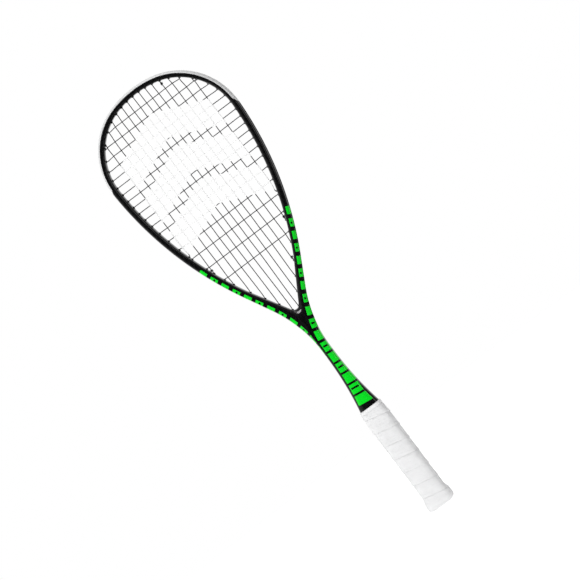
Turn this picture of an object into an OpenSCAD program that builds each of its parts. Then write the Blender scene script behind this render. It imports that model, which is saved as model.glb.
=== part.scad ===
// Squash racket: one moulded hollow carbon frame, strung 14 by 18, with a
// cushioned wrap grip. The strings lie in the plane y = 0 and +Z runs up the
// handle. The origin is the centre of the butt cap's end face.

/* [Racket] */
// Overall length, butt face to head tip
length = 685; // [660:1:686]
// Depth of the hoop, front to back
hoop_d = 19; // [16:0.5:24]
// Width of the hoop's beam, seen from the front
beam_w = 9.3; // [8:0.1:12]
// Width of each arm where it meets the vee
arm_w = 11.3; // [9:0.1:14]
// Wall of the moulded tube
wall = 1.3; // [1:0.1:2]

/* [Head curve] */
// Radius of the flat arc over the tip
top_r = 140; // [110:1:180]
// Half angle of the tip arc
top_a = 13; // [8:1:25]
// Radius of the shoulders
shoulder_r = 94; // [80:1:110]
// Angle each shoulder turns through
shoulder_a = 79; // [65:1:85]
// Radius of the long side curves
side_r = 478; // [400:2:560]
// Angle each side curve turns through
side_a = 26.4; // [20:0.2:32]
// Radius where the arms curve into the shaft
throat_r = 171; // [120:1:220]
// Radius at the bottom of the vee
vee_r = 7; // [4:0.5:12]

/* [Shaft and handle] */
// Narrowest width of the shaft
neck_w = 13; // [11:0.5:18]
// Depth of the shaft at the neck
neck_d = 19.4; // [16:0.2:24]
// Width of the frame inside the grip
core_w = 28.4; // [24:0.2:32]
// Width of the shaft where it enters the grip
collar_w = 30.8; // [28.4:0.2:32]
// Depth of the frame inside the grip
core_d = 24; // [20:0.2:28]
// Height of the grip's upper end
grip_top = 160.5; // [120:0.5:220]
// Width over the wrapped grip
grip_w = 34.4; // [30:0.2:38]
// Depth over the wrapped grip
grip_d = 30; // [26:0.2:34]
// Width over the flare at the butt
butt_w = 40; // [36:0.5:44]
// Depth over the flare at the butt
butt_d = 35.4; // [31:0.2:40]

/* [Stringing] */
// String diameter
string_d = 1.2; // [1.05:0.05:1.35]
// Distance of the middle mains from the axis
first_main = 5.1; // [4.5:0.1:6]
// Spacing of the mains at the middle
main_gap = 10; // [8:0.1:12]
// How fast the mains spread outwards
main_grow = 0.0777; // [0:0.001:0.1]
// Height of the top cross
first_cross = 657.9; // [650:0.1:662]
// Closest spacing of the crosses
cross_gap = 10.9; // [9:0.1:13]
// Extra spacing of the crosses at the top
top_grow = 4.3; // [0:0.1:6]
// Extra spacing of the crosses at the bottom
low_grow = 14.5; // [0:0.5:18]

/* [Guard and grommets] */
// Thickness of the head bumper
guard_t = 3.4; // [2.5:0.1:4]
// Distance along the hoop from the tip to each end of the bumper
guard_s = 161.8; // [120:0.1:200]
// Depth of the string groove in the hoop's outer face
groove_t = 2.4; // [1.8:0.1:3]
// Outside diameter of a grommet barrel
barrel_d = 3.8; // [3.2:0.1:4.6]
// Bore of a grommet barrel
barrel_bore = 2.8; // [2:0.1:3.4]
// How far each barrel stands inside the hoop
barrel_out = 1.5; // [0.5:0.1:3]

/* [View] */
// Node to show

/* [Hidden] */
RAD = 180 / PI;
round_pow = 0.8;          // squareness of the moulded sections
strip_t = 0.8;            // thickness of a grommet strip
strip_w = 5.7;            // width of a grommet strip
side_y = 0.68;            // how far a string sits off the middle of its bore
loop_y = 1.0;             // and off the middle of the groove
weave = string_d / 2 + 0.03;
rib = 0.7;                // half the wall between the two tubes of the shaft
frame_end = 3.2;
black = [0.05, 0.05, 0.055];

// ---- the outer line of the hoop, as a chain of tangent arcs ----
// s is the distance along it from the tip, on the right-hand side.
function nh(h) = [sin(h), cos(h)];
beta = top_a + shoulder_a + side_a - 90;
h2 = top_a + shoulder_a;
h3 = h2 + side_a;
s1 = top_r * top_a / RAD;
s2 = s1 + shoulder_r * shoulder_a / RAD;
s3 = s2 + side_r * side_a / RAD;
c1 = [0, length - top_r];
c2 = c1 + (top_r - shoulder_r) * nh(top_a);
c3 = c2 + (shoulder_r - side_r) * nh(h2);
p3 = c3 + side_r * nh(h3);
arm_l = (p3[0] - neck_w / 2 - throat_r * (1 - cos(beta))) / sin(beta);
s4 = s3 + arm_l;
arm_dir = [cos(h3), -sin(h3)];
c4 = p3 + arm_l * arm_dir + throat_r * nh(h3);
s5 = s4 + throat_r * beta / RAD;
neck_z = c4[1];
widest_s = s1 + shoulder_r * (90 - top_a) / RAD;

function heading(s) = s <= s1 ? s / top_r * RAD
    : s <= s2 ? top_a + (s - s1) / shoulder_r * RAD
    : s <= s3 ? h2 + (s - s2) / side_r * RAD
    : s <= s4 ? h3 : h3 - (s - s4) / throat_r * RAD;
function nrm(s) = nh(heading(s));
function outer(s) = s <= s1 ? c1 + top_r * nrm(s)
    : s <= s2 ? c2 + shoulder_r * nrm(s)
    : s <= s3 ? c3 + side_r * nrm(s)
    : s <= s4 ? p3 + (s - s3) * arm_dir : c4 - throat_r * nrm(s);
function beam(s) = beam_w + (arm_w - beam_w) * max(0, min(1, (s - s3) / (s4 - s3)));
function inner(s) = outer(s) - beam(s) * nrm(s);

// ---- the vee between the arms ----
i3 = inner(s3);
i4 = inner(s4);
gamma = atan2(i3[0] - i4[0], i3[1] - i4[1]);
apex_z = i4[1] - i4[0] / tan(gamma);
vee_c = apex_z + vee_r / sin(gamma);
vee_z = vee_c - vee_r;
vee_t = [vee_r * cos(gamma), vee_c - vee_r * sin(gamma)];
function vee(t) = [vee_r * cos(gamma + (90 - gamma) * t),
    vee_c - vee_r * sin(gamma + (90 - gamma) * t)];
function vee_at(x) = x > vee_t[0] ? [x, apex_z + x / tan(gamma)]
    : [x, vee_c - sqrt(vee_r * vee_r - x * x)];

// ---- cross-sections: u runs from the inner line outwards, v is front to back ----
function pw(c) = sign(c) * pow(abs(c), round_pow);
function mix(a, b, t) = a + (b - a) * t;
// Upper half of a section L wide and 2b deep: g = 1 has the string groove,
// a = 1 is cut back for the bumper.
function half_section(L, b, g, a) = concat(
    [for (t = [150, 120, 90, 65, 42, 25])
        [min(L / 2 * (1 + pw(cos(t))), L - guard_t * a), b * pw(sin(t))]],
    [a > 0 ? [L - guard_t, 4]
        : mix([L / 2 * (1 + pw(cos(12))), b * pw(sin(12))], [L - 0.05, 3.3], g),
     a > 0 ? [L - guard_t, 3.1]
        : mix([L, 0.08 * b], [L - groove_t, 3], g)]);
function whole(half) = concat([[0, 0]], half,
    [for (i = [len(half) - 1 : -1 : 0]) [half[i][0], -half[i][1]]]);
// Places a section between an inner point p and an outer point q.
function place(p, q, uv) = let (L = norm(q - p), d = (q - p) / L)
    [for (c = uv) let (w = p + c[0] * d) [w[0], c[1], w[1]]];
function held(points, low) = [for (p = points) [max(low, p[0]), p[1], p[2]]];
function flipped(points) = [for (p = points) [-p[0], p[1], p[2]]];

// ---- stations along one half of the frame: [inner, outer, half depth, g, a] ----
hoop_b = hoop_d / 2;
neck_b = neck_d / 2;
collar_l = 12;
function flare(z) = let (t = max(0, min(1, (neck_z - 8 - z) / (neck_z - 8 - grip_top))),
        k = max(0, min(1, (z - grip_top + collar_l) / collar_l)))
    [z < grip_top ? mix(core_w, collar_w, k) / 2 : mix(neck_w / 2, collar_w / 2, pow(t, 2.05)),
     mix(neck_b, core_d / 2, pow(t, 1.5))];
hoop_s = concat([for (k = [0 : 2]) s1 * k / 2],
    [for (k = [1 : 11]) s1 + (guard_s - s1) * k / 11]);
side_s = concat([guard_s + 0.5],
    [for (k = [1 : 8]) guard_s + (s3 - guard_s) * k / 8],
    [for (k = [1 : 2]) s3 + arm_l * k / 2]);
throat = [
    [mix(i4, vee_t, 0.55), outer(s4 + 8), 9.55, 1, 0],
    [vee_t, outer(s4 + 16), 9.6, 1, 0],
    [vee(0.4), outer(s4 + 22), 9.65, 1, 0],
    [vee(0.75), outer(s4 + 27), 9.7, 1, 0],
    [vee(1), outer(s4 + 32), 9.7, 1, 0],
    [[-2.5, vee_z - 1.6], outer(s4 + 36.5), 9.7, 1, 0],
    [[-6, vee_z - 7], outer(s4 + 41.5), 9.7, 1, 0]];
function full_at(s, b, g) = let (q = outer(s)) [[-q[0], q[1]], q, b, g, 0];
function flare_at(z) = let (f = flare(z)) [[-f[0], z], [f[0], z], f[1], 0, 0];
low_z = concat([for (k = [1 : 8]) mix(neck_z - 8, grip_top, k / 8)],
    [grip_top - collar_l, frame_end]);
stations = concat(
    [for (s = hoop_s) [inner(s), outer(s), hoop_b, 1, 1]],
    [for (s = side_s) [inner(s), outer(s), hoop_b, 1, 0]],
    throat,
    [full_at(s4 + 50, neck_b, 0.6), full_at(s4 + 58, neck_b, 0),
     full_at(s4 + 69, neck_b, 0), full_at(s5, neck_b, 0)],
    [for (z = low_z) flare_at(z)]);

// ---- closed solids from rings of points ----
function band(n, m, i) = [for (j = [0 : m - 1])
    let (k = (j + 1) % m, a = i * m, b = (i + 1) * m)
        each [[a + j, b + j, a + k], [a + k, b + j, b + k]]];
// A cap is cut into triangles that all meet at the ring's middle point.
function fan(m) = let (h = floor(m / 2))
    [for (k = [1 : m - 2]) [h, (h + k) % m, (h + k + 1) % m]];
function ends(cap, last) = concat(cap,
    [for (c = cap) [last + c[0], last + c[2], last + c[1]]]);
module loft(rings, cap = []) {
    n = len(rings);
    m = len(rings[0]);
    polyhedron([for (r = rings) each r], concat(
        [for (i = [0 : n - 2]) each band(n, m, i)],
        ends(len(cap) > 0 ? cap : fan(m), (n - 1) * m)), convexity = 12);
}

// The frame's skin: both halves share the points on the plane x = 0, so the two
// arms run together into one shaft with no seam.
frame_rings = [for (c = stations) held(place(c[0], c[1],
    whole(half_section(norm(c[1] - c[0]), c[2], c[3], c[4]))), 0)];
module frame_skin() {
    n = len(frame_rings);
    m = len(frame_rings[0]);
    right = [for (r = frame_rings) each r];
    function twin(i) = abs(right[i][0]) < 1e-6 ? i : i + n * m;
    low = (n - 1) * m;
    half = concat([for (i = [0 : n - 2]) each band(n, m, i)],
        [for (c = fan(m)) [low + c[0], low + c[2], low + c[1]]]);
    kept = [for (f = half) if (max([for (i = f) right[i][0]]) > 1e-6) f];
    polyhedron(concat(right, flipped(right)), concat(kept,
        [for (f = kept) [for (k = [len(f) - 1 : -1 : 0]) twin(f[k])]]),
        convexity = 12);
}

// The hollow: one bore round the hoop that ends in two side by side in the shaft.
function bore_section(L, b, low, high) = let (c = (low + L - high) / 2, r = (L - high - low) / 2)
    [for (k = [0 : 9]) [c + r * pw(cos(180 - 36 * k)), (b - wall) * pw(sin(180 - 36 * k))]];
function bore_ring(c) = let (L = norm(c[1] - c[0]))
    held(place(c[0], c[1], bore_section(L, c[2], wall,
        wall + (c[4] > 0 ? guard_t : groove_t * c[3]))), c[1][0] > 40 ? 0 : rib);
bore_right = concat([for (i = [1 : len(stations) - 2]) bore_ring(stations[i])],
    [bore_ring([[-core_w / 2, frame_end - 1], [core_w / 2, frame_end - 1], core_d / 2, 0, 0])]);
function bore_top() = place(inner(0), outer(0),
    bore_section(beam_w, hoop_b, wall, wall + guard_t));
module frame_bore() {
    n = len(bore_right);
    loft(concat([for (i = [n - 1 : -1 : 0]) flipped(bore_right[i])],
        [bore_top()], bore_right));
}

// ---- stringing pattern ----
mains = 14;
crosses = 18;
function main_x(k) = first_main + main_gap * k + main_grow * pow(k, 2.6);
function gap_at(j) = j <= 9 ? cross_gap + top_grow * pow((9 - j) / 8, 2.5)
    : cross_gap + low_grow * pow((j - 9) / 8, 1.7);
function cross_z(j) = j == 0 ? first_cross : cross_z(j - 1) - gap_at(j);
cross_h = [for (j = [0 : crosses - 1]) cross_z(j)];

// Each hole is [mouth, exit, distance along the hoop at the exit], right-hand side.
function seek(k, x, lo, hi, n = 30) = let (m = (lo + hi) / 2, high =
    k == "rise" ? inner(m)[0] < x : k == "fall" ? inner(m)[0] > x
    : k == "exit" ? outer(m)[0] > x : inner(m)[1] > x)
    n == 0 ? m : high ? seek(k, x, m, hi, n - 1) : seek(k, x, lo, m, n - 1);
function cut(s) = s < guard_s ? 1.95 : 0.98;
function groove_pt(s, y) = let (q = outer(abs(s)) - cut(abs(s)) * nrm(abs(s)))
    [s < 0 ? -q[0] : q[0], y, q[1]];
function hole(m, s) = let (e = groove_pt(s, 0)) [m, [e[0], e[2]], s];
function top_hole(k) = let (s = seek("rise", main_x(k), 0, widest_s)) hole(inner(s), s);
function low_mouth(x) = x < i4[0] ? vee_at(x) : inner(seek("fall", x, widest_s, s4));
function low_hole(k) = let (x = main_x(k), s = seek("fall", x, widest_s, s4) - 0.6)
    k == 6 ? hole(inner(s), s)
    : hole(low_mouth(x), seek("exit", x + (k == 0 ? 7.5 : 4.5), widest_s, s5));
top_holes = [for (k = [0 : 6]) top_hole(k)];
low_holes = [for (k = [0 : 6]) low_hole(k)];
// The top cross shares a hole with the second main from the side.
cross_holes = [for (j = [0 : crosses - 1])
    let (s = seek("level", cross_h[j], 0, s4) + (j == 15 ? 0.6 : 0))
    j == 0 ? top_holes[5] : hole(inner(s), s)];
every_hole = concat(top_holes, low_holes, [for (j = [1 : crosses - 1]) cross_holes[j]]);
function way(h) = (h[1] - h[0]) / norm(h[1] - h[0]);
function in_range(a, b) = [for (h = every_hole) if (h[2] > a && h[2] < b) h];

module along(h, from, to, d) {
    w = way(h);
    p = h[0] + from * w;
    translate([p[0], 0, p[1]]) rotate([0, atan2(w[0], w[1]), 0])
        cylinder(h = to - from, d = d, $fn = 20);
}
module both() {
    children();
    mirror([1, 0, 0]) children();
}

// A string's path: runs across the hoop, woven over and under, and loops outside.
function spot(h, side, y, back) = let (p = h[0] - back * way(h)) [side * p[0], y, p[1]];
function leave(h, side, y) = [spot(h, side, y, barrel_out + 0.6), spot(h, side, y, -1),
    [side * h[1][0], y, h[1][1]]];
// Along the groove from distance a to distance b, both signed by side.
function ride(a, b, y) = let (n = max(2, ceil(abs(b - a) / 9)), e = 2.2 * sign(b - a))
    [for (k = [0 : n]) groove_pt(mix(a + e, b - e, k / n), y)];
function rev(v) = [for (i = [len(v) - 1 : -1 : 0]) v[i]];
function meets(k, j) = cross_h[j] < top_holes[k][0][1] - 2.5
    && cross_h[j] > low_holes[k][0][1] + 2.5
    && main_x(k) < cross_holes[j][0][0] - 2.5;
// Column numbers run 0 to 13 from the left.
function column(k, side) = side > 0 ? 7 + k : 6 - k;
function over(c, j) = (c + j) % 2 == 0 ? 1 : -1;
function main_run(k, side) = [for (j = [0 : crosses - 1]) if (meets(k, j))
    [side * main_x(k), weave * over(column(k, side), j), cross_h[j]]];
function main_down(k, side) = concat(rev(leave(top_holes[k], side, -side_y)),
    main_run(k, side), leave(low_holes[k], side, -side_y));
// A knot: the end winds round the string at x, starting at height z.
function knot(x, z, dir) = [for (t = [0 : 45 : 630])
    [x + 1.42 * cos(90 + t * dir), 1.42 * sin(90 + t * dir), z + 1.5 * t / 360]];
function main_half(side) = concat(
    main_down(0, side), ride(side * low_holes[0][2], side * low_holes[1][2], -loop_y),
    rev(main_down(1, side)), ride(side * top_holes[1][2], side * top_holes[2][2], -loop_y),
    main_down(2, side), ride(side * low_holes[2][2], side * low_holes[3][2], -loop_y),
    rev(main_down(3, side)), ride(side * top_holes[3][2], side * top_holes[4][2], -loop_y),
    main_down(4, side), ride(side * low_holes[4][2], side * low_holes[5][2], -loop_y),
    rev(main_down(5, side)), ride(side * top_holes[5][2], side * top_holes[6][2], -loop_y),
    main_down(6, side),
    ride(side * low_holes[6][2], side * low_holes[5][2], -loop_y),
    rev(leave(low_holes[5], side, side_y)),
    knot(side * main_x(5), low_holes[5][0][1] + 3.2, side));
main_path = concat(rev(main_half(-1)),
    ride(-top_holes[0][2], top_holes[0][2], -loop_y), main_half(1));

function cross_run(j) = let (cs = [for (c = [0 : mains - 1])
    let (k = c > 6 ? c - 7 : 6 - c, side = c > 6 ? 1 : -1)
        if (meets(k, j)) [side * main_x(k), -weave * over(c, j), cross_h[j]]])
    concat(rev(leave(cross_holes[j], -1, side_y)), cs, leave(cross_holes[j], 1, side_y));
// The first cross starts on the right, and odd rows run back to the right.
function cross_way(j) = j % 2 == 0 ? rev(cross_run(j)) : cross_run(j);
function cross_side(j) = j % 2 == 0 ? -1 : 1;
cross_path = concat(
    rev(knot(main_x(3), top_holes[3][0][1] - 5.9, 1)),
    leave(top_holes[3], 1, side_y),
    ride(top_holes[3][2], cross_holes[0][2], loop_y),
    [for (j = [0 : crosses - 1]) each concat(cross_way(j), j < crosses - 1
        ? ride(cross_side(j) * cross_holes[j][2],
            cross_side(j) * cross_holes[j + 1][2], loop_y) : [])],
    ride(cross_holes[crosses - 1][2], low_holes[3][2], loop_y),
    rev(leave(low_holes[3], 1, side_y)),
    knot(main_x(3), low_holes[3][0][1] + 3.2, 1));

// A round cord along a path, kept from twisting.
function unit(v) = v / norm(v);
function heading_at(p, i) = i == 0 ? unit(p[1] - p[0])
    : i == len(p) - 1 ? unit(p[i] - p[i - 1])
    : unit(unit(p[i] - p[i - 1]) + unit(p[i + 1] - p[i]));
function cord_rings(p, r, m) = [for (i = 0, t = heading_at(p, 0),
        n = unit(cross(t, [0, 1, 0.01])); i < len(p);
        i = i + 1, t = heading_at(p, min(i, len(p) - 1)), n = unit(n - (n * t) * t))
    [for (k = [0 : m - 1]) p[i] + r * (cos(360 * k / m) * n + sin(360 * k / m) * cross(t, n))]];
module cord(path) {
    loft(cord_rings(path, string_d / 2, 6));
}

// ---- grommet strips: a ribbon along the groove with a barrel at every hole ----
function ribbon_ring(s, low, high) = let (q = outer(abs(s)), n = nrm(abs(s)), w = strip_w / 2,
    pts = [for (c = [[low, -w], [low, w], [high, w], [high, -w]])
        let (p = q - c[0] * n) [p[0], c[1], p[1]]])
    s < 0 ? flipped(pts) : pts;
module ribbon(a, b, step, depth) {
    n = ceil((b - a) / step);
    loft([for (i = [0 : n]) ribbon_ring(mix(a, b, i / n), depth - 0.02, depth - strip_t)]);
}
module grommets(holes, twosided) {
    difference() {
        union() {
            children();
            for (h = holes) {
                along(h, -barrel_out, norm(h[1] - h[0]) - 0.8, barrel_d);
                if (twosided) mirror([1, 0, 0])
                    along(h, -barrel_out, norm(h[1] - h[0]) - 0.8, barrel_d);
            }
        }
        for (h = holes) {
            along(h, -6, 26, barrel_bore);
            if (twosided) mirror([1, 0, 0]) along(h, -6, 26, barrel_bore);
        }
    }
}

// ---- rounded rectangles for the handle parts ----
function oval(w, d, z, q = 0.55) = [for (k = [0 : 23]) let (a = 15 * k,
    c = sign(cos(a)) * pow(abs(cos(a)), q), s = sign(sin(a)) * pow(abs(sin(a)), q))
    [w / 2 * c, d / 2 * s, z]];
// The grip's outside: flared at the butt, easing in at the top.
function bump(z, a, b) = let (t = max(0, min(1, (z - a) / (b - a)))) t * t * (3 - 2 * t);
function grip_size(z) = let (f = 1 - bump(z, 8, 25), e = bump(z, grip_top - 22, grip_top))
    [mix(grip_w, butt_w, f) - 2.2 * e, mix(grip_d, butt_d, f) - 3 * e];
cap_top = 24;

module frame() {
    color(black) difference() {
        frame_skin();
        frame_bore();
        for (h = every_hole) both() along(h, -4, 32, barrel_d + 0.2);
        staple_legs(1.2);
    }
}

module foam_core(side) {
    color([0.85, 0.8, 0.62]) loft([for (z = [147, 110, 60, 17.5])
        let (b = [[-core_w / 2, z], [core_w / 2, z], core_d / 2, 0, 0],
            inset = [for (p = bore_section(core_w, core_d / 2, wall + 0.1, wall + 0.1))
                [p[0], p[1] * 0.99]],
            r = held(place(b[0], b[1], inset), rib + 0.1))
        side > 0 ? r : rev(flipped(r))]);
}

module butt_cap() {
    color([0.93, 0.93, 0.92]) difference() {
        union() {
            loft([oval(31.4, 27, 0), oval(34.6, 30.2, 1.2), oval(35.6, 31.2, 4),
                oval(35.6, 31.2, 11), oval(32.6, 28, 18), oval(30.4, 26, cap_top)]);
        }
        difference() {
            loft([frame_end_ring(cap_top + 1, 0.1), frame_end_ring(frame_end, 0.1)]);
            both() translate([wall + 1.2, -7, frame_end - 1]) cube([9.6, 14, 14]);
        }
        staple_legs(1.2);
    }
}
function frame_end_ring(z, gap) = let (L = core_w + 2 * gap)
    [for (p = place([-L / 2, z], [L / 2, z],
        whole(half_section(L, core_d / 2 + gap, 0, 0)))) p];

// Two staples pin the butt cap to the frame: legs through the collar, crown in a slot.
staple_z = 12.5;
staple_y = 15.35;
module staple_legs(d) {
    for (side = [-1, 1], x = [-4.5, 4.5])
        translate([x, side * (core_d / 2 - 2), staple_z]) rotate([side > 0 ? -90 : 90, 0, 0])
            cylinder(h = staple_y - core_d / 2 + 2.4, d = d, $fn = 20);
    for (side = [-1, 1])
        translate([-5.1, side > 0 ? staple_y - d / 2 : -staple_y - 2, staple_z - d / 2])
            cube([10.2, 2 + d / 2, d]);
}
module staple(side) {
    color([0.75, 0.76, 0.78]) {
        for (x = [-4.5, 4.5])
            translate([x, side * (core_d / 2 - 1.6), staple_z])
                rotate([side > 0 ? -90 : 90, 0, 0])
                    cylinder(h = staple_y - core_d / 2 + 1.6, d = 1, $fn = 20);
        translate([-5, side * staple_y - 0.4, staple_z - 0.5]) cube([10, 0.8, 1]);
    }
}

module grip_tape() {
    zs = [1.6, 3, 6, 9, 12, 15, 18, 21, 25, 80, grip_top - 22, grip_top - 17,
        grip_top - 12, grip_top - 7, grip_top - 3, grip_top];
    function lost(z) = z < 2 ? 2.6 : z < 4 ? 1 : z < 7 ? 0.2 : 0;
    color([0.93, 0.93, 0.93]) difference() {
        loft([for (z = zs) let (g = grip_size(z)) oval(g[0] - lost(z), g[1] - lost(z), z)]);
        loft([oval(34.2, 29.8, 0.9), oval(34.9, 30.5, 1.4), oval(35.8, 31.4, 4),
            oval(35.8, 31.4, 11), oval(32.8, 28.2, 18), oval(30.6, 26.2, cap_top + 0.1),
            frame_oval(cap_top + 2, core_w), frame_oval(grip_top - collar_l, core_w),
            frame_oval(grip_top, collar_w), frame_oval(grip_top + 1, collar_w)]);
    }
}
function frame_oval(z, w) = oval(w + 0.2, core_d + 0.2, z, 0.8);

module finishing_band() {
    function at(z, g) = let (s = grip_size(min(z, grip_top))) oval(s[0] + g, s[1] + g, z, 0.6);
    color([0.8, 0.8, 0.8]) difference() {
        loft([at(156.6, 0.75), at(grip_top, 0.75), at(grip_top + 0.9, -0.6),
            oval(collar_w + 0.2, 24.7, grip_top + 1.6, 0.8)]);
        loft([at(156, 0.1), at(grip_top + 0.02, 0.1), at(grip_top + 0.2, -1),
            oval(collar_w - 0.12, 24.3, grip_top + 0.9, 0.8),
            oval(collar_w - 0.5, 24, grip_top + 2.4, 0.8)]);
    }
}

// The head guard covers the outside of the hoop and the strings in the channel.
function guard_section() = let (L = beam_w, low = L - guard_t + 0.02,
    arc = [for (t = [60, 42, 25, 11]) [L / 2 * (1 + pw(cos(t))), hoop_b * pw(sin(t))]],
    lip = [[low, 8.85], [low, 3.1], [L - 1.2, 2.95]])
    concat(arc, [for (c = rev(arc)) [c[0], -c[1]]], [for (c = lip) [c[0], -c[1]]], rev(lip));
// Its C-shaped end is cut into triangles from tip to tip.
guard_cap = [[13, 0, 12], [0, 1, 12], [1, 2, 12], [12, 2, 11], [2, 3, 11], [11, 3, 4],
    [11, 4, 10], [10, 4, 5], [10, 5, 9], [5, 6, 9], [6, 7, 9], [7, 8, 9]];
module bumper_guard() {
    n = 28;
    color([0.94, 0.94, 0.94]) loft([for (i = [0 : n])
        let (s = mix(-guard_s, guard_s, i / n), a = abs(s),
            r = place(inner(a), outer(a), guard_section()))
        s < 0 ? flipped(r) : r], guard_cap);
}

split_s = 359;
last_s = 474;
module head_grommets() {
    color(black) grommets(in_range(-1, guard_s), true)
        ribbon(-guard_s, guard_s, 12, guard_t);
}
module side_grommets(side) {
    color(black) mirror([side < 0 ? 1 : 0, 0, 0]) grommets(in_range(guard_s, split_s), false)
        ribbon(guard_s + 0.8, split_s, 24, groove_t);
}
module throat_grommets(side) {
    color(black) mirror([side < 0 ? 1 : 0, 0, 0]) grommets(in_range(split_s, last_s), false)
        ribbon(split_s + 0.3, last_s, 14, groove_t);
}

module main_string() {
    color([0.1, 0.1, 0.1]) cord(main_path);
}
module cross_string() {
    color([0.1, 0.1, 0.1]) cord(cross_path);
}

frame();
foam_core(-1);  // foam_core_left
foam_core(1);  // foam_core_right
butt_cap();
staple(-1);  // staple_front
staple(1);  // staple_back
grip_tape();
finishing_band();
bumper_guard();
head_grommets();
side_grommets(-1);  // side_grommets_left
side_grommets(1);  // side_grommets_right
throat_grommets(-1);  // throat_grommets_left
throat_grommets(1);  // throat_grommets_right
main_string();
cross_string();
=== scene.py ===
# %% [markdown]
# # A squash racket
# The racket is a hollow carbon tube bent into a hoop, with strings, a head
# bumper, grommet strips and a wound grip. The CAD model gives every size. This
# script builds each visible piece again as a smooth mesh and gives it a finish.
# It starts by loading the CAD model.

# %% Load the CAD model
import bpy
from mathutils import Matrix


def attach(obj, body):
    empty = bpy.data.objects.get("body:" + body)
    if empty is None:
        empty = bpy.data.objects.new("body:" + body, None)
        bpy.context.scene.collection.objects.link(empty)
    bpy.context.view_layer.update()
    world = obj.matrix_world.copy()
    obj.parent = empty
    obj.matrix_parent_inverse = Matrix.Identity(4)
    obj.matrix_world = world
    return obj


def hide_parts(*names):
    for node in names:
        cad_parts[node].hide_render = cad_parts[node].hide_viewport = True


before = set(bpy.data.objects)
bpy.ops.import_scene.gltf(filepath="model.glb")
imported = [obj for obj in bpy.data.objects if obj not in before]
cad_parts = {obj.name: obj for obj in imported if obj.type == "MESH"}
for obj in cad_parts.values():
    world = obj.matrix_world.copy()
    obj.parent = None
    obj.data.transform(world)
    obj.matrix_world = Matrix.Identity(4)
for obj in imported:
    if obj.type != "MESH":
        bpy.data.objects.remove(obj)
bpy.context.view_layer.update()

import math
import bpy
import bmesh
from mathutils import Quaternion, Vector
BODY = "root"

# %% [markdown]
# ## Camera
# A long lens from three metres away keeps the hoop's curves true, as in a
# catalogue picture. The camera is rolled, so the racket leans across the frame
# while it stands upright in its own axes. It stands a little to the racket's
# right, which shows the inner wall of the hoop on the left.

# %% Camera
VIEW_SIDE, VIEW_UP, VIEW_ROLL = 9.0, 1.0, -36.91
VIEW_FROM, VIEW_WIDTH = 3.0, 0.7652
VIEW_AT = Vector((0.008, 0, 0.3475))


def add_object(name, data):
    """Puts a mesh, a lamp or a camera into the scene."""
    obj = bpy.data.objects.new(name, data)
    bpy.context.scene.collection.objects.link(obj)
    return obj


def look_along(obj, way, roll=0.0):
    """Turns a camera or a lamp, which look down their own -Z, to look along way."""
    obj.rotation_mode = "QUATERNION"
    obj.rotation_quaternion = (way.to_track_quat("-Z", "Y")
                               @ Quaternion((0, 0, 1), math.radians(roll)))


side, up = math.radians(VIEW_SIDE), math.radians(VIEW_UP)
back = Vector((math.sin(side) * math.cos(up), -math.cos(side) * math.cos(up), math.sin(up)))
camera = add_object("camera", bpy.data.cameras.new("camera"))
camera.data.lens = camera.data.sensor_width * VIEW_FROM / VIEW_WIDTH
camera.data.clip_end = 50
camera.location = VIEW_AT + back * VIEW_FROM
look_along(camera, -back, VIEW_ROLL)
bpy.context.scene.camera = camera
print("lens", round(camera.data.lens, 1), "mm")

# %% [markdown]
# ## The line of the hoop
# The outer line of the frame is a chain of arcs that meet without a corner: a
# flat arc over the tip, a tight shoulder, a long side, a straight arm, and a
# curve back into the shaft. One number, the distance `s` along that line from
# the tip, finds any place on the right half, and the left half mirrors it.
# Lengths here are millimetres, and become metres when a vertex is made.

# %% Arcs of the outer line
LENGTH = 685.0
TOP_R, TOP_A = 140.0, 13.0
SHOULDER_R, SHOULDER_A = 94.0, 79.0
SIDE_R, SIDE_A = 478.0, 26.4
THROAT_R = 171.0
NECK_W, NECK_D = 13.0, 19.4
BEAM_W, ARM_W, HOOP_D = 9.3, 11.3, 19.0
RAD = 180 / math.pi


def sind(a):
    return math.sin(a / RAD)


def cosd(a):
    return math.cos(a / RAD)


def facing(h):
    """The unit vector that points away from an arc's centre at heading h."""
    return Vector((sind(h), cosd(h)))


H1, H2 = TOP_A, TOP_A + SHOULDER_A
H3 = H2 + SIDE_A
S1 = TOP_R * TOP_A / RAD
S2 = S1 + SHOULDER_R * SHOULDER_A / RAD
S3 = S2 + SIDE_R * SIDE_A / RAD
C1 = Vector((0, LENGTH - TOP_R))
C2 = C1 + (TOP_R - SHOULDER_R) * facing(H1)
C3 = C2 + (SHOULDER_R - SIDE_R) * facing(H2)
P3 = C3 + SIDE_R * facing(H3)
ARM_DIR = Vector((cosd(H3), -sind(H3)))
ARM_L = (P3.x - NECK_W / 2 - THROAT_R * (1 - cosd(H3 - 90))) / sind(H3 - 90)
S4 = S3 + ARM_L
C4 = P3 + ARM_L * ARM_DIR + THROAT_R * facing(H3)
S5 = S4 + THROAT_R * (H3 - 90) / RAD
NECK_Z = C4.y


def heading(s):
    if s <= S1:
        return s / TOP_R * RAD
    if s <= S2:
        return H1 + (s - S1) / SHOULDER_R * RAD
    if s <= S3:
        return H2 + (s - S2) / SIDE_R * RAD
    return H3 if s <= S4 else H3 - (s - S4) / THROAT_R * RAD


def outward(s):
    return facing(heading(s))


def outer(s):
    if s <= S1:
        return C1 + TOP_R * outward(s)
    if s <= S2:
        return C2 + SHOULDER_R * outward(s)
    if s <= S3:
        return C3 + SIDE_R * outward(s)
    return P3 + (s - S3) * ARM_DIR if s <= S4 else C4 - THROAT_R * outward(s)


def beam(s):
    return BEAM_W + (ARM_W - BEAM_W) * max(0, min(1, (s - S3) / (S4 - S3)))


def inner(s):
    return outer(s) - beam(s) * outward(s)


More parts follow.
